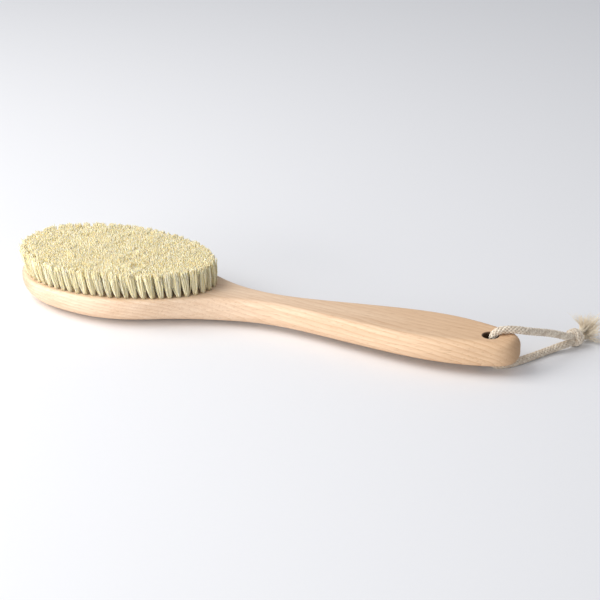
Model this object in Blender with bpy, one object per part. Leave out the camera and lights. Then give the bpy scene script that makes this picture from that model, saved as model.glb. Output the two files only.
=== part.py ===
"""Body dry brush: a one-piece beech body with bristle tufts set in drilled holes, and a
knotted cotton hanging cord through the handle.

Metres, +Z up. The brush lies on its back, bristles up. The long axis is X, with the head at
-X and the handle at +X. The head rests on the surface and the handle end is propped on the
cord that runs under it, so the body stands at a small slope.
"""
import math

import bmesh
import bpy
from mathutils import Matrix, Vector

MM = 0.001
COLLECTION = "body_dry_brush"

# --- wooden body -------------------------------------------------------------
LENGTH = 0.350
THICKNESS = 0.018
# edge radii: at the head, along the handle and at the handle's end, and where they change
TOP_EDGE_R = (0.0026, 0.004, 0.006)
TOP_EDGE_BLENDS = ((-0.050, -0.020), (0.090, 0.165))
BASE_EDGE_R = (0.0144, 0.0092, 0.0071)
BASE_EDGE_BLENDS = ((-0.060, -0.010), (0.120, 0.172))
# half width in mm: sum of a_k sin(k pi t), where x = -LENGTH / 2 * cos(pi t)
OUTLINE_TERMS = (29.72, 11.25, 13.05, -1.87, -4.41, -0.44, 1.39, 0.10, -0.51, -0.72)
OUTLINE_STEPS = 40
BASE_ROUND_STEPS = 4
TOP_ROUND_STEPS = 2

# --- hanging hole ------------------------------------------------------------
HANG_X = 0.1571
HANG_Y = -0.0026
HANG_R = 0.0047
HANG_CHAMFER = 0.001
HANG_SIDES = 24

# --- tufts -------------------------------------------------------------------
FIELD_X = -0.1016
FIELD_A = 0.0674
FIELD_B = 0.0385
FIELD_EGG = -0.13
ROW_STEP = 0.0063
RING_TUFTS = ((60, 4), (52, 4), (45, 3))
ROW_PITCH = 0.0059
STRIP_HALF = 0.0025
HOLE_R = 0.00175
HOLE_DEPTH = 0.006
HOLE_SIDES = 6
FOOT_HALF = 0.00095
FOOT_DEPTH = 0.0055
FOOT_RISE = 0.0004
MERGE_RISE = 0.007
BRISTLE_RISE = 0.018
STRIP_GAP = 0.0004
# how far the bristle tips spread and lean over their full height
SPREAD_X = 0.008
SPREAD_Y = 0.055
LEAN_X = -0.0019

# --- how the brush stands ----------------------------------------------------
SLOPE = math.radians(0.93)
CONTACT_X = -0.1607
SHIFT_X = 0.00018

# --- hanging cord ------------------------------------------------------------
CORD_R = 0.0023
CORD_POINT_STEP = 0.0045
CORD_BEND_STEP = 0.0016
KNOT_CENTRE = (0.1964, 0.0510, 0.0061)
KNOT_ALONG = (0.37, 0.929, 0.0)
KNOT_HALF = 0.0060
KNOT_RADII = (0.0054, 0.0060, 0.0060, 0.0054)
KNOT_SIDES = 16
# from the knot over the handle end, down through the hole, under the end and back to the knot
CORD_ROUTE = (
    (0.19405, 0.04510, 0.00900),
    (0.19340, 0.04345, 0.00920),
    (0.19180, 0.04090, 0.01040),
    (0.18895, 0.03700, 0.01260),
    (0.18525, 0.03130, 0.01530),
    (0.18175, 0.02460, 0.01810),
    (0.17825, 0.01750, 0.02090),
    (0.17495, 0.01190, 0.02320),
    (0.17155, 0.00810, 0.02485),
    (0.16795, 0.00520, 0.02570),
    (0.16525, 0.00320, 0.02600),
    (0.16263, 0.00134, 0.02605),
    (0.16077, 0.00009, 0.02561),
    (0.15924, -0.00095, 0.02444),
    (0.15816, -0.00167, 0.02268),
    (0.15779, -0.00201, 0.01960),
    (0.15738, -0.00230, 0.01640),
    (0.15695, -0.00260, 0.01320),
    (0.15664, -0.00282, 0.01040),
    (0.15673, -0.00286, 0.00824),
    (0.15740, -0.00236, 0.00605),
    (0.15858, -0.00147, 0.00423),
    (0.16015, -0.00028, 0.00295),
    (0.16196, 0.00108, 0.00234),
    (0.16685, 0.00490, 0.00230),
    (0.17025, 0.00920, 0.00230),
    (0.17355, 0.01440, 0.00230),
    (0.17675, 0.01990, 0.00230),
    (0.18005, 0.02560, 0.00230),
    (0.18305, 0.03070, 0.00235),
    (0.18605, 0.03520, 0.00260),
    (0.18875, 0.03850, 0.00320),
    (0.19135, 0.04100, 0.00380),
    (0.19335, 0.04340, 0.00410),
    (0.19405, 0.04510, 0.00410),
)
TAIL_UP_ROUTE = (
    (0.19877, 0.05695, 0.00880),
    (0.19933, 0.05834, 0.00880),
    (0.19980, 0.06060, 0.01180),
    (0.19950, 0.06180, 0.01600),
)
TAIL_SIDE_ROUTE = (
    (0.19877, 0.05695, 0.00340),
    (0.19933, 0.05834, 0.00340),
    (0.20280, 0.06130, 0.00430),
    (0.20800, 0.06230, 0.00560),
)
TAIL_RADII = (0.0024, 0.0026, 0.0036, 0.0046)


def clear_scene():
    for thing in list(bpy.data.objects):
        bpy.data.objects.remove(thing, do_unlink=True)


def collection(name):
    made = bpy.data.collections.new(name)
    bpy.context.scene.collection.children.link(made)
    return made


def material(name, colour, roughness):
    made = bpy.data.materials.new(name)
    made.use_nodes = True
    shader = made.node_tree.nodes["Principled BSDF"]
    shader.inputs["Base Color"].default_value = (*colour, 1.0)
    shader.inputs["Roughness"].default_value = roughness
    return made


def beech():
    return material("beech", (0.72, 0.52, 0.35), 0.55)


def bristle():
    return material("plant_bristle", (0.80, 0.71, 0.45), 0.7)


def cotton():
    return material("cotton_cord", (0.74, 0.69, 0.60), 0.9)


def add_object(name, mesh, home, look=None):
    made = bpy.data.objects.new(name, mesh)
    home.objects.link(made)
    if look:
        mesh.materials.append(look)
    return made


def mesh_from(bm, name):
    bmesh.ops.recalc_face_normals(bm, faces=bm.faces)
    mesh = bpy.data.meshes.new(name)
    bm.to_mesh(mesh)
    bm.free()
    return mesh


def add_cutter(name, mesh, home):
    cutter = add_object(name, mesh, home)
    cutter.hide_render = True
    cutter.display_type = "WIRE"
    return cutter


def apply_modifiers(thing):
    graph = bpy.context.evaluated_depsgraph_get()
    mesh = bpy.data.meshes.new_from_object(thing.evaluated_get(graph))
    thing.modifiers.clear()
    thing.data = mesh


def cut(target, cutter):
    step = target.modifiers.new(cutter.name, "BOOLEAN")
    step.operation = "DIFFERENCE"
    step.solver = "EXACT"
    step.object = cutter


def standing():
    """From the body's own frame, base at z = 0, to the frame it stands in."""
    lift = -CONTACT_X * math.sin(SLOPE)
    return Matrix.Translation((SHIFT_X, 0.0, lift)) @ Matrix.Rotation(-SLOPE, 4, "Y")


def half_width(t):
    return MM * sum(a * math.sin(k * math.pi * t) for k, a in enumerate(OUTLINE_TERMS, 1))


def outline():
    """Points and outward directions around the body, seen from above."""
    side = []
    for i in range(OUTLINE_STEPS + 1):
        t = i / OUTLINE_STEPS
        x = -LENGTH / 2 * math.cos(math.pi * t)
        dx = LENGTH / 2 * math.pi * math.sin(math.pi * t)
        dy = MM * sum(a * k * math.pi * math.cos(k * math.pi * t)
                      for k, a in enumerate(OUTLINE_TERMS, 1))
        size = math.hypot(dx, dy)
        side.append((x, half_width(t), -dy / size, dx / size))
    side[-1] = (LENGTH / 2, 0.0, 1.0, 0.0)
    back = [(x, -y, nx, -ny) for x, y, nx, ny in reversed(side[1:-1])]
    return side + back


def edge_radius(x, radii, blends):
    """An edge radius that eases from the head's value to the handle's and the end's."""
    value = radii[0]
    for (start, end), goal in zip(blends, radii[1:]):
        share = min(max((x - start) / (end - start), 0.0), 1.0)
        value += (goal - value) * share * share * (3 - 2 * share)
    return value


def body_rings():
    """Level outlines from the base to the top, with both edges rounded."""
    rings = []
    edge = outline()
    for i in range(BASE_ROUND_STEPS + 1):
        turn = math.pi / 2 * i / BASE_ROUND_STEPS
        ring = []
        for x, y, nx, ny in edge:
            r = edge_radius(x, BASE_EDGE_R, BASE_EDGE_BLENDS)
            inset = r * (1 - math.sin(turn))
            ring.append((x - nx * inset, y - ny * inset, r * (1 - math.cos(turn))))
        rings.append(ring)
    for i in range(TOP_ROUND_STEPS + 1):
        turn = math.pi / 2 * i / TOP_ROUND_STEPS
        ring = []
        for x, y, nx, ny in edge:
            r = edge_radius(x, TOP_EDGE_R, TOP_EDGE_BLENDS)
            inset = r * (1 - math.cos(turn))
            ring.append((x - nx * inset, y - ny * inset, THICKNESS - r * (1 - math.sin(turn))))
        rings.append(ring)
    return rings


def loft(rings, name):
    """One closed body through level rings with the same number of points."""
    bm = bmesh.new()
    rows = [[bm.verts.new(p) for p in ring] for ring in rings]
    count = len(rows[0])
    for low, high in zip(rows, rows[1:]):
        for i in range(count):
            j = (i + 1) % count
            bm.faces.new((low[i], low[j], high[j], high[i]))
    bm.faces.new(list(reversed(rows[0])))
    bm.faces.new(rows[-1])
    return mesh_from(bm, name)


def egg_point(a, b, turn):
    x = FIELD_X + a * math.cos(turn)
    y = b * math.sin(turn) * (1 + FIELD_EGG * math.cos(turn))
    return Vector((x, y))


def egg_spaced(a, b, count):
    """Points and directions at equal steps around one ring of tufts."""
    fine = 3600
    points = [egg_point(a, b, 2 * math.pi * i / fine) for i in range(fine + 1)]
    along = [0.0]
    for p, q in zip(points, points[1:]):
        along.append(along[-1] + (q - p).length)
    spaced = []
    k = 0
    for i in range(count):
        goal = along[-1] * i / count
        while along[k + 1] < goal:
            k += 1
        p, q = points[k], points[k + 1]
        share = (goal - along[k]) / (along[k + 1] - along[k])
        spaced.append((p.lerp(q, share), (q - p).normalized()))
    return spaced


def inner_reach(y):
    """Where a straight row at height y meets the inner side of the last ring."""
    rings = len(RING_TUFTS)
    a = FIELD_A - (rings - 1) * ROW_STEP - STRIP_HALF - STRIP_GAP
    b = FIELD_B - (rings - 1) * ROW_STEP - STRIP_HALF - STRIP_GAP
    inside = [egg_point(a, b, 2 * math.pi * i / 1440) for i in range(1440)]
    xs = [p.x for p in inside if p.y >= abs(y)]
    return min(xs), max(xs)


def straight_rows():
    """Rows that fill the middle of the field, stepped at each tuft and each edge between."""
    rows = []
    level = 0
    while True:
        y = level * ROW_STEP
        try:
            low, high = inner_reach(y + STRIP_HALF)
        except ValueError:
            break
        count = round((high - low) / ROW_PITCH)
        if count < 3:
            break
        pitch = (high - low) / count
        for side in ((1,) if level == 0 else (1, -1)):
            spots = [Vector((low + i * pitch / 2, side * y)) for i in range(2 * count + 1)]
            rows.append([(spot, Vector((1.0, 0.0))) for spot in spots])
        level += 1
    return rows


def tuft_groups():
    """Every group of tufts: its name, its tufts and the cell edges between them."""
    groups = []
    for ring, (count, arcs) in enumerate(RING_TUFTS):
        a = FIELD_A - ring * ROW_STEP
        b = FIELD_B - ring * ROW_STEP
        steps = egg_spaced(a, b, 2 * count)
        per = count // arcs
        for arc in range(arcs):
            first = 2 * arc * per
            span = [steps[(first + i) % (2 * count)] for i in range(2 * per + 1)]
            groups.append((f"tufts_ring{ring + 1}_{arc + 1}", span[1::2], span[0::2]))
    for index, span in enumerate(straight_rows()):
        groups.append((f"tufts_row_{index + 1}", span[1::2], span[0::2]))
    return groups


def spread(x, y, rise):
    """Where a bristle that starts at x, y has got to at a height over the wood."""
    share = max(rise, 0.0) / BRISTLE_RISE
    x += share * (LEAN_X + SPREAD_X * (x - FIELD_X))
    y += share * SPREAD_Y * y
    return x, y, THICKNESS + rise


def strip_mesh(name, tufts, edges):
    """A comb: one foot to each tuft, joined into one strip where the bristles meet."""
    bm = bmesh.new()
    pulled = list(edges)
    pulled[0] = (edges[0][0] + edges[0][1] * STRIP_GAP / 2, edges[0][1])
    pulled[-1] = (edges[-1][0] - edges[-1][1] * STRIP_GAP / 2, edges[-1][1])

    def pair(point, along, half, rise):
        across = Vector((-along.y, along.x)) * half
        sides = (point - across, point + across)
        return [bm.verts.new(spread(p.x, p.y, rise)) for p in sides]

    merge = [pair(p, d, STRIP_HALF, MERGE_RISE) for p, d in pulled]
    top = [pair(p, d, STRIP_HALF, BRISTLE_RISE) for p, d in pulled]
    for i, (point, along) in enumerate(tufts):
        behind = point - along * FOOT_HALF
        ahead = point + along * FOOT_HALF
        levels = []
        for rise in (-FOOT_DEPTH, FOOT_RISE):
            a = pair(behind, along, FOOT_HALF, rise)
            b = pair(ahead, along, FOOT_HALF, rise)
            levels.append((a[0], b[0], b[1], a[1]))
        levels.append((merge[i][0], merge[i + 1][0], merge[i + 1][1], merge[i][1]))
        for low, high in zip(levels, levels[1:]):
            for j in range(4):
                k = (j + 1) % 4
                bm.faces.new((low[j], low[k], high[k], high[j]))
        bm.faces.new(reversed(levels[0]))
        for side in (0, 1):
            bm.faces.new((merge[i][side], merge[i + 1][side], top[i + 1][side], top[i][side]))
        bm.faces.new((top[i][0], top[i + 1][0], top[i + 1][1], top[i][1]))
    for end in (0, -1):
        bm.faces.new((merge[end][0], merge[end][1], top[end][1], top[end][0]))
    return mesh_from(bm, name)


def add_prism(bm, x, y, sides, radius, low, high):
    place = Matrix.Translation((x, y, (low + high) / 2))
    bmesh.ops.create_cone(bm, cap_ends=True, segments=sides, radius1=radius, radius2=radius,
                          depth=high - low, matrix=place)


def tuft_hole_cutter(groups, home):
    bm = bmesh.new()
    for _, tufts, _ in groups:
        for point, _ in tufts:
            add_prism(bm, point.x, point.y, HOLE_SIDES, HOLE_R,
                      THICKNESS - HOLE_DEPTH, THICKNESS + 2 * MM)
    return add_cutter("tuft_hole_cutter", mesh_from(bm, "tuft_hole_cutter"), home)


def hang_hole_cutter(home):
    wide = HANG_R + HANG_CHAMFER + MM
    levels = ((-MM, wide), (HANG_CHAMFER, HANG_R), (THICKNESS - HANG_CHAMFER, HANG_R),
              (THICKNESS + MM, wide))
    rings = []
    for z, r in levels:
        turns = [2 * math.pi * i / HANG_SIDES for i in range(HANG_SIDES)]
        rings.append([(HANG_X + r * math.cos(a), HANG_Y + r * math.sin(a), z) for a in turns])
    return add_cutter("hang_hole_cutter", loft(rings, "hang_hole_cutter"), home)


def wooden_body(groups, home, cutters):
    body = add_object("wooden_body", loft(body_rings(), "wooden_body"), home)
    cut(body, tuft_hole_cutter(groups, cutters))
    cut(body, hang_hole_cutter(cutters))
    apply_modifiers(body)
    body.data.transform(standing())
    body.data.materials.clear()
    body.data.materials.append(beech())


def bristle_groups(groups, home):
    for name, tufts, edges in groups:
        made = add_object(name, strip_mesh(name, tufts, edges), home, bristle())
        made.data.transform(standing())


def smooth_route(route, step, bend_step):
    """Points along a smooth curve through the route, closer together where it bends."""
    knots = [Vector(p) for p in route]
    ends = [2 * knots[0] - knots[1]] + knots + [2 * knots[-1] - knots[-2]]
    fine = []
    for a, b, c, d in zip(ends, ends[1:], ends[2:], ends[3:]):
        for i in range(24):
            t = i / 24
            fine.append(0.5 * (2 * b + (c - a) * t + (2 * a - 5 * b + 4 * c - d) * t * t
                               + (3 * b - a - 3 * c + d) * t ** 3))
    fine.append(knots[-1])
    kept = [0]
    for i in range(1, len(fine) - 1):
        gone = (fine[i] - fine[kept[-1]]).length
        before = fine[kept[-1] + 1] - fine[kept[-1]]
        ahead = fine[i + 1] - fine[i]
        if gone >= step or (gone >= bend_step and before.angle(ahead) > math.radians(14)):
            kept.append(i)
    if (fine[-1] - fine[kept[-1]]).length < bend_step:
        kept.pop()
    return [fine[i] for i in kept] + [fine[-1]]


def tube(name, points, radii, home, look):
    """A round closed tube along the points."""
    curve = bpy.data.curves.new(name, "CURVE")
    curve.dimensions = "3D"
    curve.bevel_depth = 1.0
    curve.bevel_resolution = 2
    curve.use_fill_caps = True
    line = curve.splines.new("POLY")
    line.points.add(len(points) - 1)
    for spot, place, radius in zip(line.points, points, radii):
        spot.co = (*place, 1.0)
        spot.radius = radius
    holder = add_object(name + "_line", curve, home)
    graph = bpy.context.evaluated_depsgraph_get()
    mesh = bpy.data.meshes.new_from_object(holder.evaluated_get(graph))
    bpy.data.objects.remove(holder, do_unlink=True)
    bm = bmesh.new()
    bm.from_mesh(mesh)
    bmesh.ops.remove_doubles(bm, verts=bm.verts, dist=1e-6)
    made = mesh_from(bm, name)
    made.transform(Matrix.Translation((SHIFT_X, 0.0, 0.0)))
    made.materials.clear()
    return add_object(name, made, home, look)


def hanging_cord(home):
    points = smooth_route(CORD_ROUTE, CORD_POINT_STEP, CORD_BEND_STEP)
    tube("hanging_cord", points, [CORD_R] * len(points), home, cotton())


def cord_tails(home):
    for name, route in (("cord_tail_up", TAIL_UP_ROUTE), ("cord_tail_side", TAIL_SIDE_ROUTE)):
        tube(name, [Vector(p) for p in route], TAIL_RADII, home, cotton())


def cord_knot(home):
    along = Vector(KNOT_ALONG).normalized()
    turn = along.to_track_quat("Z", "Y").to_matrix().to_4x4()
    rings = []
    last = len(KNOT_RADII) - 1
    for i, r in enumerate(KNOT_RADII):
        z = KNOT_HALF * (2 * i / last - 1)
        turns = [2 * math.pi * j / KNOT_SIDES for j in range(KNOT_SIDES)]
        rings.append([(r * math.cos(a), r * math.sin(a), z) for a in turns])
    knot = add_object("cord_knot", loft(rings, "cord_knot"), home, cotton())
    place = Vector(KNOT_CENTRE) + Vector((SHIFT_X, 0.0, 0.0))
    knot.data.transform(Matrix.Translation(place) @ turn)


def build():
    clear_scene()
    home = collection(COLLECTION)
    cutters = collection("cutters")
    groups = tuft_groups()
    wooden_body(groups, home, cutters)
    bristle_groups(groups, home)
    hanging_cord(home)
    cord_knot(home)
    cord_tails(home)


build()
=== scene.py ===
import math

import bmesh
import bpy
import numpy as np
from mathutils import Matrix, Vector


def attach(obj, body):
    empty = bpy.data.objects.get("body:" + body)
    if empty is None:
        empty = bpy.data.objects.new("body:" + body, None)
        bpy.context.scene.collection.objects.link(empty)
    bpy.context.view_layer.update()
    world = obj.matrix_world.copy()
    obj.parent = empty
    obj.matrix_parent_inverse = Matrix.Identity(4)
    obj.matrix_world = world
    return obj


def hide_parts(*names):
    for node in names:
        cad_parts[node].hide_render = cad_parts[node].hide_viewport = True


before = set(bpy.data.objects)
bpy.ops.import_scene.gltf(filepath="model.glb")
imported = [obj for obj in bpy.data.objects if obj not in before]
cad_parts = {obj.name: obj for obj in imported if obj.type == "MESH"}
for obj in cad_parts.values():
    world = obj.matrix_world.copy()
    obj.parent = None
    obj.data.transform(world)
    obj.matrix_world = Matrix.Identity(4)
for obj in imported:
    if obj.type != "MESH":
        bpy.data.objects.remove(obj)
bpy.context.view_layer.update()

MM = 0.001

# --- camera ------------------------------------------------------------------
CAMERA_TARGET = (0.008546, 0.04705, 0.0)
CAMERA_AZIMUTH = 23.551
CAMERA_ELEVATION = 24.01
CAMERA_DISTANCE = 1.08086
CAMERA_LENS = 96.015

# --- light: place, aim, size, watts and colour ---------------------------------
KEY_LIGHT = ((-0.85, -0.38, 1.05), (-0.12, 0.05, 0), (1.1, 1.1), 15.5, (1.0, 0.985, 0.965))
FRONT_LIGHT = ((-0.70, -1.04, 0.23), (-0.08, 0, 0), (1.4, 0.44), 11.6, (1.0, 0.99, 0.985))
WORLD_COLOUR = (0.93, 0.95, 1.0, 1.0)
WORLD_STRENGTH = 0.46
FLOOR_SIZE = 6.0

# --- the body, as in the CAD ---------------------------------------------------
LENGTH = 0.350
THICKNESS = 0.018
TOP_EDGE_R = (0.0026, 0.004, 0.006)
TOP_EDGE_BLENDS = ((-0.050, -0.020), (0.090, 0.165))
BASE_EDGE_R = (0.0144, 0.0092, 0.0071)
BASE_EDGE_BLENDS = ((-0.060, -0.010), (0.120, 0.172))
OUTLINE_TERMS = (29.72, 11.25, 13.05, -1.87, -4.41, -0.44, 1.39, 0.10, -0.51, -0.72)
OUTLINE_STEPS = 150
BASE_ROUND_STEPS = 10
TOP_ROUND_STEPS = 7
HANG_X = 0.1571
HANG_Y = -0.0026
HANG_R = 0.0047
HANG_CHAMFER = 0.001
HANG_SIDES = 48
HANG_ROUND_STEPS = 5
FIELD_X = -0.1016
FIELD_A = 0.0674
FIELD_B = 0.0385
FIELD_EGG = -0.13
ROW_STEP = 0.0063
RING_TUFTS = ((60, 4), (52, 4), (45, 3))
ROW_PITCH = 0.0059
STRIP_HALF = 0.0025
STRIP_GAP = 0.0004
HOLE_R = 0.00175
HOLE_DEPTH = 0.006
HOLE_SIDES = 12
BRISTLE_RISE = 0.018
SPREAD_X = 0.008
SPREAD_Y = 0.055
LEAN_X = -0.0019
SLOPE = math.radians(0.93)
CONTACT_X = -0.1607
SHIFT_X = 0.00018
SHARP_ANGLE = math.radians(32)

# --- the cord, as in the CAD ---------------------------------------------------
CORD_R = 0.0023
KNOT_CENTRE = np.array((0.1964 + SHIFT_X, 0.0510, 0.0061))
KNOT_ALONG = np.array((0.37, 0.929, 0.0))
HOLE_MIDDLE = 16
CORD_ROUTE = (
    (0.19405, 0.04510, 0.00900),
    (0.19340, 0.04345, 0.00920),
    (0.19180, 0.04090, 0.01040),
    (0.18895, 0.03700, 0.01260),
    (0.18525, 0.03130, 0.01530),
    (0.18175, 0.02460, 0.01810),
    (0.17825, 0.01750, 0.02090),
    (0.17495, 0.01190, 0.02320),
    (0.17155, 0.00810, 0.02485),
    (0.16795, 0.00520, 0.02570),
    (0.16525, 0.00320, 0.02600),
    (0.16263, 0.00134, 0.02605),
    (0.16077, 0.00009, 0.02561),
    (0.15924, -0.00095, 0.02444),
    (0.15816, -0.00167, 0.02268),
    (0.15779, -0.00201, 0.01960),
    (0.15738, -0.00230, 0.01640),
    (0.15695, -0.00260, 0.01320),
    (0.15664, -0.00282, 0.01040),
    (0.15673, -0.00286, 0.00824),
    (0.15740, -0.00236, 0.00605),
    (0.15858, -0.00147, 0.00423),
    (0.16015, -0.00028, 0.00295),
    (0.16196, 0.00108, 0.00234),
    (0.16685, 0.00490, 0.00230),
    (0.17025, 0.00920, 0.00230),
    (0.17355, 0.01440, 0.00230),
    (0.17675, 0.01990, 0.00230),
    (0.18005, 0.02560, 0.00230),
    (0.18305, 0.03070, 0.00235),
    (0.18605, 0.03520, 0.00260),
    (0.18875, 0.03850, 0.00320),
    (0.19135, 0.04100, 0.00380),
    (0.19335, 0.04340, 0.00410),
    (0.19405, 0.04510, 0.00410),
)
TAIL_UP_ROUTE = (
    (0.19877, 0.05695, 0.00880),
    (0.19933, 0.05834, 0.00880),
    (0.19980, 0.06060, 0.01180),
    (0.19950, 0.06180, 0.01600),
)
TAIL_SIDE_ROUTE = (
    (0.19877, 0.05695, 0.00340),
    (0.19933, 0.05834, 0.00340),
    (0.20280, 0.06130, 0.00430),
    (0.20800, 0.06230, 0.00560),
)


# ============================================================ small helpers
def link(thing):
    bpy.context.scene.collection.objects.link(thing)
    return thing


def mesh_object(name, verts, faces, smooth=True):
    """verts is (n, 3). faces is a list of index arrays, each (m, k), of k-sided faces."""
    mesh = bpy.data.meshes.new(name)
    faces = [np.asarray(f, np.int32) for f in faces if len(f)]
    mesh.vertices.add(len(verts))
    mesh.vertices.foreach_set("co", np.asarray(verts, np.float32).ravel())
    corners = np.concatenate([f.ravel() for f in faces])
    sizes = np.concatenate([np.full(len(f), f.shape[1], np.int32) for f in faces])
    mesh.loops.add(len(corners))
    mesh.loops.foreach_set("vertex_index", corners)
    mesh.polygons.add(len(sizes))
    mesh.polygons.foreach_set("loop_start", np.concatenate([[0], np.cumsum(sizes)[:-1]]))
    mesh.update(calc_edges=True)
    mesh.polygons.foreach_set("use_smooth", np.full(len(sizes), smooth))
    mesh.validate()
    return link(bpy.data.objects.new(name, mesh))


def point_attribute(thing, name, values):
    made = thing.data.attributes.new(name, "FLOAT", "POINT")
    made.data.foreach_set("value", np.asarray(values, np.float32).ravel())


def standing_matrix():
    lift = -CONTACT_X * math.sin(SLOPE)
    return Matrix.Translation((SHIFT_X, 0.0, lift)) @ Matrix.Rotation(-SLOPE, 4, "Y")


STANDING = np.array(standing_matrix())


def stand(points):
    """From the body's own frame to the frame it stands in."""
    return points @ STANDING[:3, :3].T + STANDING[:3, 3]


def unit(v):
    return v / np.maximum(np.linalg.norm(v, axis=-1, keepdims=True), 1e-12)


def tube_faces(n, s, sides):
    """The side quads and the end caps of n tubes, each of s rings of points."""
    base = (np.arange(n) * s * sides)[:, None, None]
    i = np.arange(s - 1)[None, :, None] * sides
    j = np.arange(sides)[None, None, :]
    k = (j + 1) % sides
    quads = np.stack([base + i + j, base + i + k, base + i + sides + k, base + i + sides + j],
                     axis=-1).reshape(-1, 4)
    first = base[:, 0] + np.arange(sides)[None, ::-1]
    last = base[:, 0] + (s - 1) * sides + np.arange(sides)[None]
    return quads, np.concatenate([first, last])


def strands(paths, radii, sides, turn=None):
    """Closed tubes along many paths at once. paths is (n, s, 3) and radii (n, s)."""
    n, s, _ = paths.shape
    along = unit(np.gradient(paths, axis=1))
    guide = np.zeros((n, 3))
    lean = np.abs(along[:, 0])
    guide[np.arange(n), lean.argmin(axis=1)] = 1.0
    across = unit(np.cross(along[:, 0], guide))
    rows = []
    for i in range(s):
        across = unit(across - along[:, i] * (across * along[:, i]).sum(1, keepdims=True))
        rows.append(across)
    across = np.stack(rows, axis=1)
    other = np.cross(along, across)
    angle = np.arange(sides) * 2 * math.pi / sides
    angle = angle[None] + (np.zeros(n) if turn is None else turn)[:, None]
    ring = (np.cos(angle)[:, None, :, None] * across[:, :, None]
            + np.sin(angle)[:, None, :, None] * other[:, :, None])
    verts = paths[:, :, None] + ring * radii[:, :, None, None]
    quads, caps = tube_faces(n, s, sides)
    return verts.reshape(-1, 3), quads, caps


def join_parts(parts):
    """Puts several (verts, quads, caps) together."""
    verts, quads, caps = [], [], []
    count = 0
    for v, q, c in parts:
        verts.append(v)
        quads.append(q + count)
        caps.append(c + count)
        count += len(v)
    return np.concatenate(verts), quads, caps


def smooth_line(points, step):
    """Even points on a smooth curve through a route."""
    knots = np.asarray(points, float)
    ends = np.concatenate([[2 * knots[0] - knots[1]], knots, [2 * knots[-1] - knots[-2]]])
    fine = []
    for a, b, c, d in zip(ends, ends[1:], ends[2:], ends[3:]):
        t = np.linspace(0, 1, 40, endpoint=False)[:, None]
        fine.append(0.5 * (2 * b + (c - a) * t + (2 * a - 5 * b + 4 * c - d) * t ** 2
                           + (3 * b - a - 3 * c + d) * t ** 3))
    fine = np.concatenate(fine + [knots[-1:]])
    along = np.concatenate([[0], np.cumsum(np.linalg.norm(np.diff(fine, axis=0), axis=1))])
    count = max(int(round(along[-1] / step)), 2)
    goal = np.linspace(0, along[-1], count + 1)
    return np.stack([np.interp(goal, along, fine[:, i]) for i in range(3)], axis=1)


# ============================================================ materials
class Nodes:
    """Short calls for building a material's node tree."""

    def __init__(self, name):
        self.material = bpy.data.materials.new(name)
        self.material.use_nodes = True
        self.tree = self.material.node_tree
        self.shader = self.tree.nodes["Principled BSDF"]
        self.coords = self.tree.nodes.new("ShaderNodeTexCoord").outputs["Object"]

    def wire(self, source, socket):
        if hasattr(source, "is_output") or hasattr(source, "links"):
            self.tree.links.new(source, socket)
        else:
            socket.default_value = source

    def mapping(self, source, scale=(1, 1, 1), move=(0, 0, 0), turn=(0, 0, 0)):
        node = self.tree.nodes.new("ShaderNodeMapping")
        self.wire(source, node.inputs["Vector"])
        node.inputs["Scale"].default_value = scale
        node.inputs["Location"].default_value = move
        node.inputs["Rotation"].default_value = turn
        return node.outputs["Vector"]

    def noise(self, source, scale, detail=2.0, rough=0.5, distort=0.0):
        node = self.tree.nodes.new("ShaderNodeTexNoise")
        self.wire(source, node.inputs["Vector"])
        node.inputs["Scale"].default_value = scale
        node.inputs["Detail"].default_value = detail
        node.inputs["Roughness"].default_value = rough
        node.inputs["Distortion"].default_value = distort
        return node.outputs["Fac"]

    def math(self, operation, *values, clamp=False):
        node = self.tree.nodes.new("ShaderNodeMath")
        node.operation = operation
        node.use_clamp = clamp
        for value, socket in zip(values, node.inputs):
            self.wire(value, socket)
        return node.outputs[0]

    def span(self, value, low, high, to_low=0.0, to_high=1.0):
        node = self.tree.nodes.new("ShaderNodeMapRange")
        self.wire(value, node.inputs["Value"])
        node.inputs["From Min"].default_value = low
        node.inputs["From Max"].default_value = high
        node.inputs["To Min"].default_value = to_low
        node.inputs["To Max"].default_value = to_high
        return node.outputs["Result"]

    def mix(self, factor, a, b, blend="MIX"):
        node = self.tree.nodes.new("ShaderNodeMix")
        node.data_type = "RGBA"
        node.blend_type = blend
        self.wire(factor, node.inputs[0])
        for value, socket in ((a, node.inputs[6]), (b, node.inputs[7])):
            if isinstance(value, tuple):
                socket.default_value = (*value, 1.0)
            else:
                self.wire(value, socket)
        return node.outputs[2]

    def split(self, source):
        node = self.tree.nodes.new("ShaderNodeSeparateXYZ")
        self.wire(source, node.inputs[0])
        return node.outputs

    def face_direction(self):
        return self.tree.nodes.new("ShaderNodeNewGeometry").outputs["Normal"]

    def painted_hole_shade(self, body):
        """Painted shade: 1 on the wall of the hanging hole below its rim, 0 elsewhere."""
        axis = self.split(body)
        off_x = self.math("SUBTRACT", axis[0], HANG_X + SHIFT_X)
        off_y = self.math("SUBTRACT", axis[1], HANG_Y)
        square = self.math("ADD", self.math("MULTIPLY", off_x, off_x),
                           self.math("MULTIPLY", off_y, off_y))
        near = self.span(self.math("SQRT", square), HANG_R + 0.0011, HANG_R + 0.0003)
        return self.math("MULTIPLY", near, 0.92)

    def attribute(self, name):
        node = self.tree.nodes.new("ShaderNodeAttribute")
        node.attribute_name = name
        return node.outputs["Fac"]

    def bump(self, height, strength, distance):
        node = self.tree.nodes.new("ShaderNodeBump")
        self.wire(height, node.inputs["Height"])
        node.inputs["Strength"].default_value = strength
        node.inputs["Distance"].default_value = distance
        self.tree.links.new(node.outputs["Normal"], self.shader.inputs["Normal"])

    def finish(self, colour, roughness, **values):
        self.wire(colour, self.shader.inputs["Base Color"])
        self.wire(roughness, self.shader.inputs["Roughness"])
        for name, value in values.items():
            self.shader.inputs[name.replace("_", " ")].default_value = value
        return self.material


# each pair runs from the head to the handle's end; the darker second colour is painted shade
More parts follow.
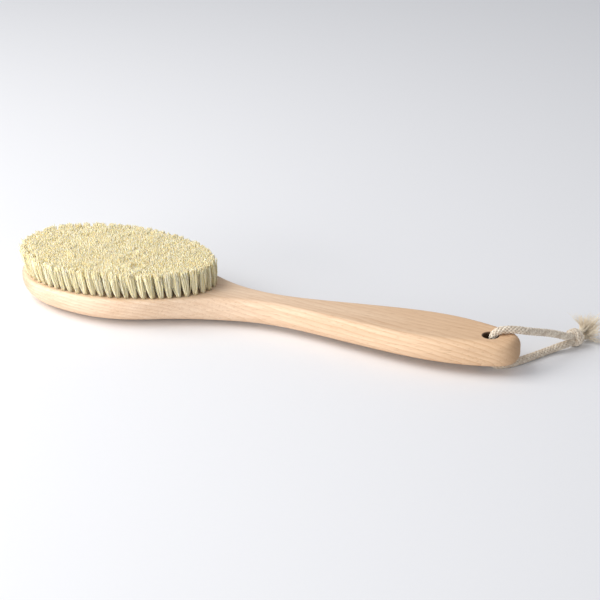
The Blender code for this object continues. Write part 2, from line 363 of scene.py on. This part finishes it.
WOOD_LIGHT = ((0.850, 0.640, 0.460), (0.755, 0.490, 0.285))
WOOD_PALE = ((0.895, 0.705, 0.530), (0.830, 0.585, 0.370))
RING_BROWN = (0.600, 0.345, 0.180)
STREAK_BROWN = (0.650, 0.415, 0.250)
FIBRE_BROWN = (0.620, 0.395, 0.235)
PORE_BROWN = (0.440, 0.245, 0.125)
END_GRAIN_AND_SHADE_BROWN = (0.400, 0.240, 0.125)
HOLE_SHADE_BROWN = (0.040, 0.016, 0.006)
RING_PITCH = 0.0026
PITH_Y = 0.052
PITH_Z = 0.044


def beech():
    """Beech: growth rings, fibre, pores and end grain, with painted shade that deepens the
    colour towards the handle's end, darkens the ends and blackens the hanging hole.
    """
    n = Nodes("beech")
    body = n.mapping(n.coords, turn=(0, SLOPE, 0))
    axis = n.split(body)
    # growth rings round a pith that lies under the board and to one side
    warp = n.noise(n.mapping(body, scale=(9, 32, 32)), 1.0, 3.0, 0.6)
    run = n.math("MULTIPLY", axis[0], 0.10)
    off_y = n.math("ADD", axis[1], PITH_Y)
    off_z = n.math("ADD", axis[2], PITH_Z)
    square = n.math("ADD", n.math("MULTIPLY", off_y, off_y), n.math("MULTIPLY", off_z, off_z))
    radius = n.math("ADD", n.math("SQRT", square), run)
    radius = n.math("ADD", radius, n.math("MULTIPLY", warp, 0.0062))
    uneven = n.noise(n.mapping(body, scale=(2, 120, 120)), 1.0, 1.0, 0.5)
    radius = n.math("ADD", radius, n.math("MULTIPLY", uneven, 0.0020))
    ring = n.math("FRACT", n.math("DIVIDE", radius, RING_PITCH))
    late = n.math("POWER", ring, 2.4)
    # pores and fine fibre along the grain
    fibre = n.noise(n.mapping(body, scale=(16, 700, 700)), 1.0, 4.0, 0.65)
    streak = n.noise(n.mapping(body, scale=(9, 210, 210)), 1.0, 3.0, 0.6)
    fleck = n.noise(n.mapping(body, scale=(150, 1900, 1900)), 1.0, 1.0, 0.5)
    fleck = n.span(fleck, 0.60, 0.72)
    cloud = n.noise(n.mapping(body, scale=(7, 22, 30)), 1.0, 3.0, 0.5)
    # painted shade: the wood is deeper in colour towards the handle's end, where the light
    # falls off
    handle_end_shade = n.span(axis[0], -0.02, 0.165)
    light = n.mix(handle_end_shade, *WOOD_LIGHT)
    pale = n.mix(handle_end_shade, *WOOD_PALE)
    colour = n.mix(n.span(cloud, 0.3, 0.7), light, pale)
    patch = n.noise(n.mapping(body, scale=(11, 30, 45), move=(3, 1, 2)), 1.0, 2.0, 0.5)
    rings = n.math("MULTIPLY", late, n.span(handle_end_shade, 0.0, 1.0, 0.50, 0.72))
    rings = n.math("MULTIPLY", rings, n.span(patch, 0.32, 0.66, 0.15, 1.0))
    colour = n.mix(rings, colour, RING_BROWN)
    colour = n.mix(n.span(streak, 0.42, 0.70, 0.0, 0.38), colour, STREAK_BROWN)
    colour = n.mix(n.span(fibre, 0.40, 0.75, 0.0, 0.30), colour, FIBRE_BROWN)
    colour = n.mix(n.math("MULTIPLY", fleck, 0.42), colour, PORE_BROWN)
    # end grain is darker by its own colour and darkened further as painted shade: where the
    # surface turns square to the board's length
    face = n.split(n.face_direction())
    end = n.math("ABSOLUTE", face[0])
    colour = n.mix(n.span(end, 0.35, 0.95, 0.0, 0.66), colour, END_GRAIN_AND_SHADE_BROWN)
    # painted shade: the wall of the hanging hole is painted near black
    hole_shade = n.painted_hole_shade(body)
    colour = n.mix(hole_shade, colour, HOLE_SHADE_BROWN)
    height = n.math("SUBTRACT", n.math("MULTIPLY", fibre, 0.5), fleck)
    n.bump(height, 0.35, 0.00008)
    rough = n.span(fibre, 0.3, 0.7, 0.50, 0.66)
    return n.finish(colour, rough, IOR=1.45)


def bristle():
    n = Nodes("plant_bristle")
    tint = n.attribute("tint")
    rise = n.attribute("rise")
    colour = n.mix(tint, (1.000, 0.870, 0.500), (1.000, 0.950, 0.710))
    gold = n.math("MULTIPLY", n.span(rise, 0.80, 1.0), n.span(tint, 0.0, 0.6, 0.65, 0.0))
    colour = n.mix(gold, colour, (0.970, 0.715, 0.290))
    # painted shade: the fibres darken towards their feet, where shade falls between the tufts
    root_shade = n.math("MULTIPLY", n.span(rise, 0.12, 0.0), 0.60)
    colour = n.mix(root_shade, colour, (0.560, 0.370, 0.170))
    streak = n.noise(n.mapping(n.coords, scale=(1500, 1500, 260)), 1.0, 2.0, 0.5)
    colour = n.mix(n.span(streak, 0.4, 0.8, 0.0, 0.25), colour, (0.930, 0.750, 0.420))
    rough = n.span(streak, 0.3, 0.7, 0.50, 0.70)
    return n.finish(colour, rough, IOR=1.45, Subsurface_Weight=0.25,
                    Subsurface_Radius=(1.0, 0.75, 0.35), Subsurface_Scale=0.0012)


def cotton(name, light, dark):
    n = Nodes(name)
    tint = n.attribute("tint")
    fibre = n.noise(n.mapping(n.coords, scale=(2600, 2600, 2600)), 1.0, 3.0, 0.6)
    soil = n.noise(n.mapping(n.coords, scale=(160, 160, 160)), 1.0, 2.0, 0.5)
    colour = n.mix(tint, dark, light)
    colour = n.mix(n.span(soil, 0.35, 0.7, 0.0, 0.22), colour, dark)
    colour = n.mix(n.span(fibre, 0.50, 0.8, 0.0, 0.30), colour, dark)
    n.bump(fibre, 0.6, 0.00012)
    rough = n.span(fibre, 0.3, 0.7, 0.82, 0.98)
    return n.finish(colour, rough, Sheen_Weight=0.25, Sheen_Roughness=0.5)


def floor_paper():
    n = Nodes("floor_paper")
    grain = n.noise(n.mapping(n.coords, scale=(300, 300, 300)), 1.0, 2.0, 0.5)
    colour = n.mix(grain, (0.855, 0.860, 0.880), (0.865, 0.870, 0.890))
    rough = n.span(grain, 0.3, 0.7, 0.85, 0.95)
    return n.finish(colour, rough, **{"Specular IOR Level": 0.1})


# ============================================================ camera and light
def make_camera():
    azimuth = math.radians(CAMERA_AZIMUTH)
    elevation = math.radians(CAMERA_ELEVATION)
    back = Vector((math.sin(azimuth) * math.cos(elevation),
                   -math.cos(azimuth) * math.cos(elevation), math.sin(elevation)))
    data = bpy.data.cameras.new("camera")
    data.lens = CAMERA_LENS
    data.sensor_width = 36.0
    data.clip_end = 20.0
    thing = link(bpy.data.objects.new("camera", data))
    thing.location = Vector(CAMERA_TARGET) + back * CAMERA_DISTANCE
    thing.rotation_euler = back.to_track_quat("Z", "Y").to_euler()
    bpy.context.scene.camera = thing


def area_light(name, place, aim, size, power, colour):
    data = bpy.data.lights.new(name, "AREA")
    data.shape = "RECTANGLE"
    data.size, data.size_y = size
    data.energy = power
    data.color = colour
    thing = link(bpy.data.objects.new(name, data))
    thing.location = place
    thing.rotation_euler = (Vector(place) - Vector(aim)).to_track_quat("Z", "Y").to_euler()


def make_stage():
    mesh = bpy.data.meshes.new("floor")
    bm = bmesh.new()
    bmesh.ops.create_grid(bm, x_segments=1, y_segments=1, size=FLOOR_SIZE)
    bm.to_mesh(mesh)
    bm.free()
    floor = link(bpy.data.objects.new("floor", mesh))
    mesh.materials.append(floor_paper())
    world = bpy.data.worlds.new("soft_studio")
    bpy.context.scene.world = world
    world.use_nodes = True
    sky = world.node_tree.nodes["Background"]
    sky.inputs["Color"].default_value = WORLD_COLOUR
    sky.inputs["Strength"].default_value = WORLD_STRENGTH
    area_light("key", *KEY_LIGHT)
    area_light("front", *FRONT_LIGHT)
    bpy.context.scene.view_settings.view_transform = "Standard"


# ============================================================ the wooden body
def outline():
    side = []
    for i in range(OUTLINE_STEPS + 1):
        t = i / OUTLINE_STEPS
        x = -LENGTH / 2 * math.cos(math.pi * t)
        y = MM * sum(a * math.sin(k * math.pi * t) for k, a in enumerate(OUTLINE_TERMS, 1))
        dx = LENGTH / 2 * math.pi * math.sin(math.pi * t)
        dy = MM * sum(a * k * math.pi * math.cos(k * math.pi * t)
                      for k, a in enumerate(OUTLINE_TERMS, 1))
        size = math.hypot(dx, dy)
        side.append((x, y, -dy / size, dx / size))
    side[-1] = (LENGTH / 2, 0.0, 1.0, 0.0)
    back = [(x, -y, nx, -ny) for x, y, nx, ny in reversed(side[1:-1])]
    return side + back


def edge_radius(x, radii, blends):
    value = radii[0]
    for (start, end), goal in zip(blends, radii[1:]):
        share = min(max((x - start) / (end - start), 0.0), 1.0)
        value += (goal - value) * share * share * (3 - 2 * share)
    return value


def body_rings():
    rings = []
    edge = outline()
    for i in range(BASE_ROUND_STEPS + 1):
        turn = math.pi / 2 * i / BASE_ROUND_STEPS
        ring = []
        for x, y, nx, ny in edge:
            r = edge_radius(x, BASE_EDGE_R, BASE_EDGE_BLENDS)
            inset = r * (1 - math.sin(turn))
            ring.append((x - nx * inset, y - ny * inset, r * (1 - math.cos(turn))))
        rings.append(ring)
    for i in range(TOP_ROUND_STEPS + 1):
        turn = math.pi / 2 * i / TOP_ROUND_STEPS
        ring = []
        for x, y, nx, ny in edge:
            r = edge_radius(x, TOP_EDGE_R, TOP_EDGE_BLENDS)
            inset = r * (1 - math.cos(turn))
            ring.append((x - nx * inset, y - ny * inset, THICKNESS - r * (1 - math.sin(turn))))
        rings.append(ring)
    return rings


def loft_object(name, rings):
    bm = bmesh.new()
    rows = [[bm.verts.new(p) for p in ring] for ring in rings]
    count = len(rows[0])
    for low, high in zip(rows, rows[1:]):
        for i in range(count):
            j = (i + 1) % count
            bm.faces.new((low[i], low[j], high[j], high[i]))
    bm.faces.new(list(reversed(rows[0])))
    bm.faces.new(rows[-1])
    bmesh.ops.recalc_face_normals(bm, faces=bm.faces)
    mesh = bpy.data.meshes.new(name)
    bm.to_mesh(mesh)
    bm.free()
    return link(bpy.data.objects.new(name, mesh))


def hole_cutter(groups):
    bm = bmesh.new()
    for _, spots in groups:
        for x, y in spots:
            low, high = THICKNESS - HOLE_DEPTH, THICKNESS + 2 * MM
            place = Matrix.Translation((x, y, (low + high) / 2))
            bmesh.ops.create_cone(bm, cap_ends=True, segments=HOLE_SIDES, radius1=HOLE_R,
                                  radius2=HOLE_R, depth=high - low, matrix=place)
    mesh = bpy.data.meshes.new("tuft_holes")
    bm.to_mesh(mesh)
    bm.free()
    return link(bpy.data.objects.new("tuft_holes", mesh))


def hang_cutter():
    profile = [(-MM, HANG_R + 1.6 * HANG_CHAMFER)]
    for i in range(HANG_ROUND_STEPS + 1):
        turn = math.pi / 2 * i / HANG_ROUND_STEPS
        profile.append((HANG_CHAMFER * (1 - math.cos(turn)),
                        HANG_R + HANG_CHAMFER * (1 - math.sin(turn))))
    profile += [(THICKNESS - z, r) for z, r in reversed(profile)]
    rings = []
    for z, r in profile:
        turns = [2 * math.pi * i / HANG_SIDES for i in range(HANG_SIDES)]
        rings.append([(HANG_X + r * math.cos(a), HANG_Y + r * math.sin(a), z) for a in turns])
    return loft_object("hang_hole", rings)


def wooden_body(groups):
    body = loft_object("beech_body", body_rings())
    for cutter in (hole_cutter(groups), hang_cutter()):
        step = body.modifiers.new("cut", "BOOLEAN")
        step.operation = "DIFFERENCE"
        step.solver = "EXACT"
        step.object = cutter
        graph = bpy.context.evaluated_depsgraph_get()
        mesh = bpy.data.meshes.new_from_object(body.evaluated_get(graph))
        body.modifiers.clear()
        body.data = mesh
        bpy.data.objects.remove(cutter, do_unlink=True)
    body.data.transform(standing_matrix())
    body.data.materials.clear()
    body.data.materials.append(beech())
    body.data.polygons.foreach_set("use_smooth", np.ones(len(body.data.polygons), bool))
    body.data.set_sharp_from_angle(angle=SHARP_ANGLE)
    weighted = body.modifiers.new("normals", "WEIGHTED_NORMAL")
    weighted.keep_sharp = True
    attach(body, "brush")
    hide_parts("wooden_body")


# ============================================================ tufts
def egg_points(a, b, turn):
    x = FIELD_X + a * np.cos(turn)
    y = b * np.sin(turn) * (1 + FIELD_EGG * np.cos(turn))
    return np.stack([x, y], axis=-1)


def egg_spaced(a, b, count):
    points = egg_points(a, b, np.linspace(0, 2 * math.pi, 3601))
    along = np.concatenate([[0], np.cumsum(np.linalg.norm(np.diff(points, axis=0), axis=1))])
    goal = along[-1] * np.arange(count) / count
    return np.stack([np.interp(goal, along, points[:, i]) for i in (0, 1)], axis=1)


def inner_reach(y):
    rings = len(RING_TUFTS)
    a = FIELD_A - (rings - 1) * ROW_STEP - STRIP_HALF - STRIP_GAP
    b = FIELD_B - (rings - 1) * ROW_STEP - STRIP_HALF - STRIP_GAP
    inside = egg_points(a, b, np.arange(1440) * 2 * math.pi / 1440)
    return inside[inside[:, 1] >= abs(y), 0]


def tuft_groups():
    """The CAD's groups of tufts: each node's name and where its tufts stand."""
    groups = []
    for ring, (count, arcs) in enumerate(RING_TUFTS):
        steps = egg_spaced(FIELD_A - ring * ROW_STEP, FIELD_B - ring * ROW_STEP, 2 * count)
        per = count // arcs
        for arc in range(arcs):
            index = (2 * arc * per + 1 + 2 * np.arange(per)) % (2 * count)
            groups.append((f"tufts_ring{ring + 1}_{arc + 1}", steps[index]))
    level = 0
    number = 1
    while True:
        reach = inner_reach(level * ROW_STEP + STRIP_HALF)
        if not len(reach):
            break
        low, high = reach.min(), reach.max()
        count = round((high - low) / ROW_PITCH)
        if count < 3:
            break
        for side in (1,) if level == 0 else (1, -1):
            xs = low + (np.arange(count) + 0.5) * (high - low) / count
            spots = np.stack([xs, np.full(count, side * level * ROW_STEP)], axis=1)
            groups.append((f"tufts_row_{number}", spots))
            number += 1
        level += 1
    return groups


# lengths in metres; a scatter is one standard deviation, a share is a part of the fibres
TUFT_SEED = 8
FIBRES_PER_TUFT = 108
FIBRE_R = 0.000255
FOOT_R = 0.00140
CELL_R = 0.0021
FIBRE_LEVELS = (-0.0045, 0.0, 0.18, 0.45, 0.75, 1.0)
FIBRE_TAPER = (0.72, 0.76, 0.84, 0.94, 1.0, 1.0)
FIBRE_R_SCATTER = 0.16
GOLDEN_TURN = 2.399963
LAY_SCATTER = 0.07
CLUMP_SCATTER = 0.00050
FULLNESS_SCATTER = 0.07
UNDER_CUT = 0.0002
REACH_SCATTER = 0.0009
TUFT_REACH_SCATTER = 0.00030
SHORT_SHARE, SHORT_BY = 0.16, 0.0036
PROUD_SHARE, PROUD_BY = 0.05, 0.0011
STRAY_SHARE, STRAY_BY = 0.04, 0.0011
TIP_SCATTER = 0.00045
BOW_SCATTER = 0.00045
SPREAD_POWER = 0.82
PUSH_CELL = 0.0010
PUSH_STEPS = 40
PUSH_RATE = 0.35
PUSH_MOST = 0.0002
PUSH_POWER = 1.3


def tuft_fibres(spots, rng):
    """Every fibre of some tufts: paths (n, s, 3) in the body's frame, radii, tints, rises."""
    count = FIBRES_PER_TUFT
    total = len(spots) * count
    away = np.sqrt((np.arange(count) + 0.5) / count)
    turn = np.arange(count) * GOLDEN_TURN
    lay = np.stack([away * np.cos(turn), away * np.sin(turn)], axis=1)
    lay = np.tile(lay, (len(spots), 1)) + rng.normal(0, LAY_SCATTER, (total, 2))
    centre = np.repeat(spots, count, axis=0)
    clump = np.repeat(rng.normal(0, CLUMP_SCATTER, (len(spots), 2)), count, axis=0)
    full = np.repeat(rng.normal(1, FULLNESS_SCATTER, len(spots)), count)[:, None]
    # the ends are cut level, but some fibres stop short or stand proud
    reach = BRISTLE_RISE - UNDER_CUT - np.abs(rng.normal(0, REACH_SCATTER, total))
    reach += np.repeat(rng.normal(0, TUFT_REACH_SCATTER, len(spots)), count)
    short = rng.random(total) < SHORT_SHARE
    reach[short] -= rng.random(short.sum()) * SHORT_BY
    proud = rng.random(total) < PROUD_SHARE
    reach[proud] += rng.random(proud.sum()) * PROUD_BY
    foot = centre + lay * FOOT_R
    tip = centre + clump + lay * CELL_R * full
    tip = tip + rng.normal(0, TIP_SCATTER, (total, 2))
    stray = rng.random(total) < STRAY_SHARE
    tip[stray] += rng.normal(0, STRAY_BY, (stray.sum(), 2))
    tip[:, 0] += LEAN_X + SPREAD_X * (centre[:, 0] - FIELD_X)
    tip[:, 1] += SPREAD_Y * centre[:, 1]
    bow = rng.normal(0, BOW_SCATTER, (total, 2))
    paths = np.zeros((total, len(FIBRE_LEVELS), 3))
    rises = np.zeros((total, len(FIBRE_LEVELS)))
    for i, level in enumerate(FIBRE_LEVELS):
        if level <= 0:
            paths[:, i, :2] = foot
            paths[:, i, 2] = THICKNESS + level
            continue
        share = level ** SPREAD_POWER
        paths[:, i, :2] = foot * (1 - share) + tip * share + bow * math.sin(math.pi * level)
        paths[:, i, 2] = THICKNESS + reach * level
        rises[:, i] = level
    thick = FIBRE_R * (1 + rng.normal(0, FIBRE_R_SCATTER, total)).clip(0.6, 1.5)
    radii = thick[:, None] * np.array(FIBRE_TAPER)[None]
    tints = rng.random(total)
    return paths, radii, tints, rises


def even_push(tips):
    """How far each fibre's tip moves so that the tips fill the gaps between the tufts."""
    cell = PUSH_CELL
    low = tips.min(axis=0) - 6 * cell
    size = np.ceil((tips.max(axis=0) + 6 * cell - low) / cell).astype(int)
    middle = np.array((FIELD_X + LEAN_X, 0.0))
    reach = np.array((FIELD_A + CELL_R, FIELD_B + CELL_R))
    out = np.linalg.norm((tips - middle) / reach, axis=1)
    hold = np.clip((1.0 - out) / 0.05, 0, 1)[:, None]
    grid = np.stack(np.meshgrid(*(np.arange(n) + 0.5 for n in size), indexing="ij"), axis=-1)
    outside = np.linalg.norm((grid * cell + low - middle) / reach, axis=-1) > 0.96
    place = tips.copy()
    for _ in range(PUSH_STEPS):
        spot = ((place - low) / cell).astype(int).clip(0, size - 1)
        count = np.zeros(size)
        np.add.at(count, (spot[:, 0], spot[:, 1]), 1.0)
        count[outside] = count[~outside].mean()
        for _ in range(2):
            for axis in (0, 1):
                count = (np.roll(count, 1, axis) + 2 * count + np.roll(count, -1, axis)) / 4
        slope = np.stack(np.gradient(count), axis=-1)[spot[:, 0], spot[:, 1]]
        step = -slope / (count[spot[:, 0], spot[:, 1], None] + 0.5) * cell * PUSH_RATE
        place += step.clip(-PUSH_MOST, PUSH_MOST) * hold
    return place - tips


def make_tufts(groups):
    rng = np.random.default_rng(TUFT_SEED)
    look = bristle()
    grown = [tuft_fibres(spots, rng) for _, spots in groups]
    push = even_push(np.concatenate([paths[:, -1, :2] for paths, _, _, _ in grown]))
    done = 0
    for (name, spots), (paths, radii, tints, rises) in zip(groups, grown):
        mine = push[done:done + len(paths)]
        done += len(paths)
        paths[..., :2] += mine[:, None] * rises[..., None] ** PUSH_POWER
        turn = rng.random(len(paths)) * 2 * math.pi
        verts, quads, caps = strands(stand(paths), radii, 3, turn)
        made = mesh_object(name.replace("tufts", "bristles"), verts, [quads, caps])
        point_attribute(made, "tint", np.repeat(tints, paths.shape[1] * 3))
        point_attribute(made, "rise", np.repeat(rises.ravel(), 3))
        made.data.materials.append(look)
        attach(made, "brush")
        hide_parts(name)


# ============================================================ cord
def frames(path):
    along = unit(np.gradient(path, axis=0))
    across = np.zeros_like(path)
    guide = np.array((0.0, 0.0, 1.0)) if abs(along[0, 2]) < 0.8 else np.array((0.0, 1.0, 0.0))
    now = unit(np.cross(along[0], guide))
    for i in range(len(path)):
        now = unit(now - along[i] * now.dot(along[i]))
        across[i] = now
    return along, across, np.cross(along, across)


# shares of the cord's radius, unless a comment says otherwise
BRAID_STRANDS = 6
BRAID_SHARE = 0.98
BRAID_LAY = 1.05
BRAID_MIDDLE = 0.84
BRAID_WAVE = 0.125
STRAND_WIDE = 0.285
STRAND_THICK = 0.165
STRAND_SIDES = 8
CORE_SHARE = 0.74
CORE_SIDES = 12
CORD_SEED = 21
# metres, but for turns, angles and KNOT_TALL
CORD_STEP = 0.00026
RUN_END_DEPTH = 0.001
RUN_END_RISE = 0.0012
UPPER_EXIT_Z = 0.0235
LOWER_EXIT_Z = 0.0052
KNOT_BRAID_R = 0.00210
KNOT_TURNS = 2.6
KNOT_START = math.radians(150)
KNOT_LAY = 0.0021
KNOT_SLANT = 0.0011
KNOT_SLANT_TURN = 0.6
KNOT_INNER_R = 0.0012
KNOT_OUT = 0.0024
KNOT_TALL = 1.04
# loose yarns, thin yarns and hairs: how many, radius, reach, sides and spread
YARN_SORTS = (
    (24, 0.00048, 1.10, 5, 1.0),
    (70, 0.00024, 1.20, 4, 1.15),
    (170, 0.00011, 1.32, 3, 1.3),
)
YARN_POINTS = 16
YARN_TIP = 0.45
YARN_LOWEST = 0.0005
YARN_SHORTEN = 0.62
YARN_RUN_ON = 0.012
YARN_WOBBLE = 0.0006
FLARE_START = 0.0017
FLARE_GAIN = 0.0056
FLARE_POWER = 1.7


def braid(path, radius):
    """A tubular braid round a path: strands both ways, over and under, and a core."""
    step = float(np.linalg.norm(path[1] - path[0]))
    along, across, other = frames(path)
    s = np.arange(len(path)) * step
    size = np.broadcast_to(radius, (len(path),))
    turn_length = 2 * math.pi * float(np.mean(size)) * BRAID_LAY
    middle = size * BRAID_MIDDLE
    wave = size * BRAID_WAVE
    parts = []
    for way in (1, -1):
        paths = []
        for i in range(BRAID_STRANDS):
            angle = way * 2 * math.pi * s / turn_length + 2 * math.pi * i / BRAID_STRANDS
            beat = np.cos(2 * math.pi * BRAID_STRANDS * s / turn_length)
            r = middle + way * wave * beat
            paths.append(path + (np.cos(angle) * r)[:, None] * across
                         + (np.sin(angle) * r)[:, None] * other)
        paths = np.stack(paths)
        outward = unit(paths - path[None])
        parts.append(flat_strands(paths, outward, STRAND_WIDE * size, STRAND_THICK * size,
                                  STRAND_SIDES))
    core = strands(path[None], (size * CORE_SHARE)[None], CORE_SIDES)
    return parts, core


def flat_strands(paths, outward, wide, thick, sides):
    """Tubes with an oval section that lies flat against a surface."""
    n, s, _ = paths.shape
    along = unit(np.gradient(paths, axis=1))
    side = unit(np.cross(along, outward))
    angle = np.arange(sides) * 2 * math.pi / sides
    ring = (np.cos(angle)[None, None, :, None] * side[:, :, None] * wide[None, :, None, None]
            + np.sin(angle)[None, None, :, None] * outward[:, :, None]
            * thick[None, :, None, None])
    verts = paths[:, :, None] + ring
    quads, caps = tube_faces(n, s, sides)
    return verts.reshape(-1, 3), quads, caps


def braided_piece(name, path, radius, look, rng):
    parts, core = braid(path, radius)
    tints = []
    for verts, _, _ in parts:
        per = len(verts) // BRAID_STRANDS
        tints.append(np.repeat(rng.uniform(0.50, 1.0, BRAID_STRANDS), per))
    # painted shade: the core takes the darkest tint, as shade in the gaps between the strands
    tints.append(np.full(len(core[0]), 0.0))
    verts, quads, caps = join_parts(parts + [core])
    made = mesh_object(name, verts, quads + caps)
    point_attribute(made, "tint", np.concatenate(tints))
    made.data.materials.append(look)
    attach(made, "cord_loop")
    return made


def shifted(route):
    return [(x + SHIFT_X, y, z) for x, y, z in route]


def make_cord():
    rng = np.random.default_rng(CORD_SEED)
    look = cotton("braided_cotton", (0.960, 0.870, 0.730), (0.420, 0.300, 0.195))
    route = shifted(CORD_ROUTE)
    upper = route[HOLE_MIDDLE::-1]
    lower = route[HOLE_MIDDLE:]
    along = KNOT_ALONG / np.linalg.norm(KNOT_ALONG)
    inside = KNOT_CENTRE - along * RUN_END_DEPTH
    rise = np.array((0, 0, RUN_END_RISE))
    upper_line = smooth_line(upper + [tuple(inside + rise)], CORD_STEP)
    lower_line = smooth_line(lower + [tuple(inside - rise)], CORD_STEP)
    knot = knot_wrap(along, look, rng)
    tail_up = frayed_tail("cord_frayed_up", TAIL_UP_ROUTE, (0.0012, 0.0005, -0.0010), rng)
    tail_side = frayed_tail("cord_frayed_side", TAIL_SIDE_ROUTE, (0.0, 0.0, 0.0022), rng)
    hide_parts("cord_tail_up")
    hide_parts("cord_tail_side")
    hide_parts("cord_knot")
    for name, line, start, extra in (
            ("cord_upper_run", upper_line, UPPER_EXIT_Z, [knot, tail_up, tail_side]),
            ("cord_lower_run", lower_line, LOWER_EXIT_Z, [])):
        run = braided_piece(name, line, CORD_R * BRAID_SHARE, look, rng)
        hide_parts("hanging_cord")


def knot_wrap(along, look, rng):
    """The doubled overhand knot: turns of cord laid slantwise round the two strands."""
    up = np.array((0.0, 0.0, 1.0))
    wide = np.cross(along, up)
    t = np.linspace(0, 1, 400)
    angle = KNOT_START + t * KNOT_TURNS * 2 * math.pi
    s = -KNOT_LAY + 2 * KNOT_LAY * t + KNOT_SLANT * np.cos(angle + KNOT_SLANT_TURN)
    ease = np.clip(np.minimum(t, 1 - t) / 0.10, 0, 1)
    r = KNOT_INNER_R + KNOT_OUT * ease * ease * (3 - 2 * ease)
    line = (KNOT_CENTRE + s[:, None] * along + (r * np.cos(angle))[:, None] * wide
            + (r * KNOT_TALL * np.sin(angle))[:, None] * up)
    line = smooth_line(line[::8], CORD_STEP)
    return braided_piece("cord_knot_turns", line, KNOT_BRAID_R, look, rng)


def yarn_paths(line, count, reach, spread, lean, rng):
    """Lines of yarns or hairs that start inside the cord's end and flare out of it."""
    along, across, other = frames(line)
    s = np.linspace(0, 1, len(line))
    turn = rng.random(count) * 2 * math.pi
    away = np.sqrt(rng.random(count))
    wob = rng.normal(0, 1, (count, 4))
    long = reach * (1 - YARN_SHORTEN * rng.random(count) ** 1.6)
    paths = []
    for i in range(count):
        k = np.linspace(0, 1, YARN_POINTS) * long[i]
        extra = np.maximum(k - 1, 0)
        centre = np.stack([np.interp(k, s, line[:, c]) for c in range(3)], axis=1)
        centre += extra[:, None] * along[-1] * YARN_RUN_ON
        centre += k[:, None] ** 2 * np.array(lean)
        a = np.stack([np.interp(k, s, across[:, c]) for c in range(3)], axis=1)
        o = np.stack([np.interp(k, s, other[:, c]) for c in range(3)], axis=1)
        flare = (FLARE_START + FLARE_GAIN * spread * k ** FLARE_POWER) * away[i]
        u = flare * np.cos(turn[i]) + YARN_WOBBLE * k * (wob[i, 0] * np.sin(4 * k)
                                                         + wob[i, 1] * np.sin(9 * k))
        v = flare * np.sin(turn[i]) + YARN_WOBBLE * k * (wob[i, 2] * np.sin(5 * k)
                                                         + wob[i, 3] * np.sin(8 * k))
        paths.append(centre + u[:, None] * a + v[:, None] * o)
    paths = np.stack(paths)
    paths[..., 2] = np.maximum(paths[..., 2], YARN_LOWEST)
    return paths


def frayed_tail(name, route, lean, rng):
    """Loose yarns and fine hairs that splay from the end of the cord."""
    line = smooth_line(shifted(route), 0.0005)
    taper = np.linspace(1, YARN_TIP, YARN_POINTS)
    parts = []
    tints = []
    for count, thick, reach, sides, spread in YARN_SORTS:
        paths = yarn_paths(line, count, reach, spread, lean, rng)
        radii = thick * rng.uniform(0.7, 1.1, (count, 1)) * taper[None]
        verts, quads, caps = strands(paths, radii, sides)
        parts.append((verts, quads, caps))
        tints.append(np.repeat(rng.uniform(0.35, 1.0, count), len(verts) // count))
    verts, quads, caps = join_parts(parts)
    made = mesh_object(name, verts, quads + caps)
    point_attribute(made, "tint", np.concatenate(tints))
    made.data.materials.append(cotton(name + "_yarn", (1.000, 0.930, 0.770),
                                      (0.800, 0.640, 0.450)))
    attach(made, "cord_loop")
    return made


make_camera()
make_cord()
make_stage()
GROUPS = tuft_groups()
wooden_body(GROUPS)
make_tufts(GROUPS)
